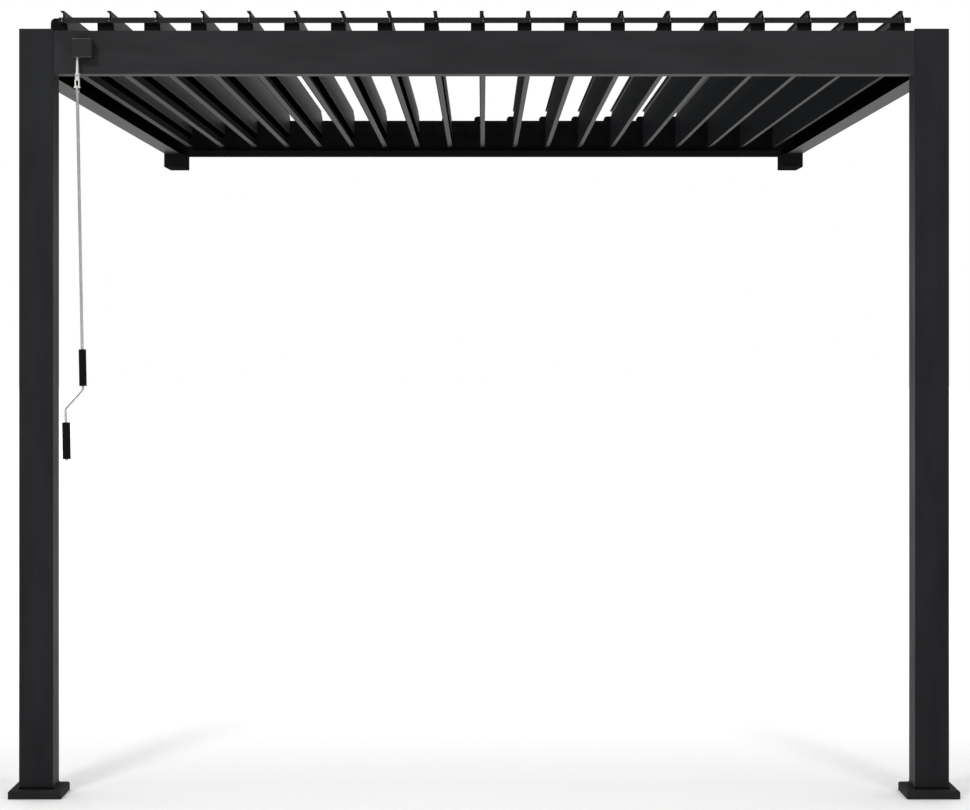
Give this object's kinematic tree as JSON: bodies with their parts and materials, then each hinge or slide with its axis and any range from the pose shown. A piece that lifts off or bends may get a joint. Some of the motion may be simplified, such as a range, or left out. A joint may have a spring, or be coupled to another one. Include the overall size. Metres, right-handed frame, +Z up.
{
  "type": "wall-mounted louvered pergola",
  "caption": "Wall-mounted aluminium pergola frame on front posts, with tilting roof louvers joined by a link bar and worked by a hanging hand crank.",
  "frame": {"origin": "middle of the rear beam's flat back face, where it lies on the wall", "axes": "+X along the wall to the right as seen from in front, +Y into the wall, +Z up; the posts stand at -Y"},
  "size_m": [3.06, 3.585, 2.5465],
  "materials": {
    "frame_coat": "fine-textured powder coat",
    "louver_coat": "satin powder coat",
    "bar_coat": "satin powder coat",
    "shoe_plastic": "moulded matte",
    "crank_steel": "zinc-plated",
    "grip_plastic": "moulded matte"
  },
  "bodies": {
    "frame": {"foot_left": "shoe_plastic", "foot_right": "shoe_plastic", "post_left": "frame_coat", "post_right": "frame_coat", "post_cap_left": "shoe_plastic", "post_cap_right": "shoe_plastic", "front_beam": "frame_coat", "rear_beam": "frame_coat", "side_beam_left": "frame_coat", "side_beam_right": "frame_coat", "wall_flashing": "frame_coat", "wall_bracket_left": "frame_coat", "wall_bracket_right": "frame_coat", "gearbox": "shoe_plastic"},
    "louver_01": {"louver_01": "louver_coat"},
    "louver_02": {"louver_02": "louver_coat"},
    "louver_03": {"louver_03": "louver_coat"},
    "louver_04": {"louver_04": "louver_coat"},
    "louver_05": {"louver_05": "louver_coat"},
    "louver_06": {"louver_06": "louver_coat"},
    "louver_07": {"louver_07": "louver_coat"},
    "louver_08": {"louver_08": "louver_coat"},
    "louver_09": {"louver_09": "louver_coat"},
    "louver_10": {"louver_10": "louver_coat"},
    "louver_11": {"louver_11": "louver_coat"},
    "louver_12": {"louver_12": "louver_coat"},
    "louver_13": {"louver_13": "louver_coat"},
    "louver_14": {"louver_14": "louver_coat"},
    "louver_15": {"louver_15": "louver_coat"},
    "louver_16": {"louver_16": "louver_coat"},
    "louver_17": {"louver_17": "louver_coat"},
    "louver_18": {"louver_18": "louver_coat"},
    "louver_19": {"louver_19": "louver_coat"},
    "link_bar": {"link_bar": "bar_coat"},
    "crank_yoke": {"crank_yoke": "crank_steel"},
    "crank_cross": {"crank_cross": "crank_steel"},
    "crank_rod": {"crank_rod": "crank_steel"},
    "upper_grip": {"upper_grip": "grip_plastic"},
    "lower_grip": {"lower_grip": "grip_plastic"}
  },
  "joints": [
    {"name": "louver_01_tilt", "type": "hinge", "parent": "frame", "child": "louver_01", "pos_m": [-1.391, -1.77, 0.054], "axis": [0, -1, 0], "range_deg": [0, 80]},
    {"name": "louver_02_tilt", "type": "hinge", "parent": "frame", "child": "louver_02", "pos_m": [-1.2395, -1.77, 0.054], "axis": [0, -1, 0], "range_deg": [0, 80]},
    {"name": "louver_03_tilt", "type": "hinge", "parent": "frame", "child": "louver_03", "pos_m": [-1.088, -1.77, 0.054], "axis": [0, -1, 0], "range_deg": [0, 80]},
    {"name": "louver_04_tilt", "type": "hinge", "parent": "frame", "child": "louver_04", "pos_m": [-0.9365, -1.77, 0.054], "axis": [0, -1, 0], "range_deg": [0, 80]},
    {"name": "louver_05_tilt", "type": "hinge", "parent": "frame", "child": "louver_05", "pos_m": [-0.785, -1.77, 0.054], "axis": [0, -1, 0], "range_deg": [0, 80]},
    {"name": "louver_06_tilt", "type": "hinge", "parent": "frame", "child": "louver_06", "pos_m": [-0.6335, -1.77, 0.054], "axis": [0, -1, 0], "range_deg": [0, 80]},
    {"name": "louver_07_tilt", "type": "hinge", "parent": "frame", "child": "louver_07", "pos_m": [-0.482, -1.77, 0.054], "axis": [0, -1, 0], "range_deg": [0, 80]},
    {"name": "louver_08_tilt", "type": "hinge", "parent": "frame", "child": "louver_08", "pos_m": [-0.3305, -1.77, 0.054], "axis": [0, -1, 0], "range_deg": [0, 80]},
    {"name": "louver_09_tilt", "type": "hinge", "parent": "frame", "child": "louver_09", "pos_m": [-0.179, -1.77, 0.054], "axis": [0, -1, 0], "range_deg": [0, 80]},
    {"name": "louver_10_tilt", "type": "hinge", "parent": "frame", "child": "louver_10", "pos_m": [-0.0275, -1.77, 0.054], "axis": [0, -1, 0], "range_deg": [0, 80]},
    {"name": "louver_11_tilt", "type": "hinge", "parent": "frame", "child": "louver_11", "pos_m": [0.124, -1.77, 0.054], "axis": [0, -1, 0], "range_deg": [0, 80]},
    {"name": "louver_12_tilt", "type": "hinge", "parent": "frame", "child": "louver_12", "pos_m": [0.2755, -1.77, 0.054], "axis": [0, -1, 0], "range_deg": [0, 80]},
    {"name": "louver_13_tilt", "type": "hinge", "parent": "frame", "child": "louver_13", "pos_m": [0.427, -1.77, 0.054], "axis": [0, -1, 0], "range_deg": [0, 80]},
    {"name": "louver_14_tilt", "type": "hinge", "parent": "frame", "child": "louver_14", "pos_m": [0.5785, -1.77, 0.054], "axis": [0, -1, 0], "range_deg": [0, 80]},
    {"name": "louver_15_tilt", "type": "hinge", "parent": "frame", "child": "louver_15", "pos_m": [0.73, -1.77, 0.054], "axis": [0, -1, 0], "range_deg": [0, 80]},
    {"name": "louver_16_tilt", "type": "hinge", "parent": "frame", "child": "louver_16", "pos_m": [0.8815, -1.77, 0.054], "axis": [0, -1, 0], "range_deg": [0, 80]},
    {"name": "louver_17_tilt", "type": "hinge", "parent": "frame", "child": "louver_17", "pos_m": [1.033, -1.77, 0.054], "axis": [0, -1, 0], "range_deg": [0, 80]},
    {"name": "louver_18_tilt", "type": "hinge", "parent": "frame", "child": "louver_18", "pos_m": [1.1845, -1.77, 0.054], "axis": [0, -1, 0], "range_deg": [0, 80]},
    {"name": "louver_19_tilt", "type": "hinge", "parent": "frame", "child": "louver_19", "pos_m": [1.336, -1.77, 0.054], "axis": [0, -1, 0], "range_deg": [0, 80]},
    {"name": "link_bar_pivot", "type": "hinge", "parent": "louver_01", "child": "link_bar", "pos_m": [-1.3665, -3.507, 0.1047], "axis": [0, -1, 0], "range_deg": [-80, 0]},
    {"name": "crank_turn", "type": "hinge", "parent": "frame", "child": "crank_yoke", "pos_m": [-1.308, -3.564, -0.022], "axis": [0, 0, 1], "continuous": true},
    {"name": "crank_swing_out", "type": "hinge", "parent": "crank_yoke", "child": "crank_cross", "pos_m": [-1.308, -3.564, -0.115], "axis": [-1, 0, 0], "range_deg": [0, 45]},
    {"name": "crank_swing_aside", "type": "hinge", "parent": "crank_cross", "child": "crank_rod", "pos_m": [-1.308, -3.564, -0.115], "axis": [0, 1, 0], "range_deg": [-20, 20]},
    {"name": "upper_grip_spin", "type": "hinge", "parent": "crank_rod", "child": "upper_grip", "pos_m": [-1.29044, -3.564, -1.017], "axis": [-0.0195, 0, 0.9998], "continuous": true},
    {"name": "lower_grip_spin", "type": "hinge", "parent": "crank_rod", "child": "lower_grip", "pos_m": [-1.34267, -3.564, -1.252], "axis": [-0.0183, 0, 0.9998], "continuous": true}
  ],
  "couplings": [
    {"joint": "louver_02_tilt", "follows": "louver_01_tilt", "ratio": 1},
    {"joint": "louver_03_tilt", "follows": "louver_01_tilt", "ratio": 1},
    {"joint": "louver_04_tilt", "follows": "louver_01_tilt", "ratio": 1},
    {"joint": "louver_05_tilt", "follows": "louver_01_tilt", "ratio": 1},
    {"joint": "louver_06_tilt", "follows": "louver_01_tilt", "ratio": 1},
    {"joint": "louver_07_tilt", "follows": "louver_01_tilt", "ratio": 1},
    {"joint": "louver_08_tilt", "follows": "louver_01_tilt", "ratio": 1},
    {"joint": "louver_09_tilt", "follows": "louver_01_tilt", "ratio": 1},
    {"joint": "louver_10_tilt", "follows": "louver_01_tilt", "ratio": 1},
    {"joint": "louver_11_tilt", "follows": "louver_01_tilt", "ratio": 1},
    {"joint": "louver_12_tilt", "follows": "louver_01_tilt", "ratio": 1},
    {"joint": "louver_13_tilt", "follows": "louver_01_tilt", "ratio": 1},
    {"joint": "louver_14_tilt", "follows": "louver_01_tilt", "ratio": 1},
    {"joint": "louver_15_tilt", "follows": "louver_01_tilt", "ratio": 1},
    {"joint": "louver_16_tilt", "follows": "louver_01_tilt", "ratio": 1},
    {"joint": "louver_17_tilt", "follows": "louver_01_tilt", "ratio": 1},
    {"joint": "louver_18_tilt", "follows": "louver_01_tilt", "ratio": 1},
    {"joint": "louver_19_tilt", "follows": "louver_01_tilt", "ratio": 1},
    {"joint": "link_bar_pivot", "follows": "louver_01_tilt", "ratio": -1}
  ]
}
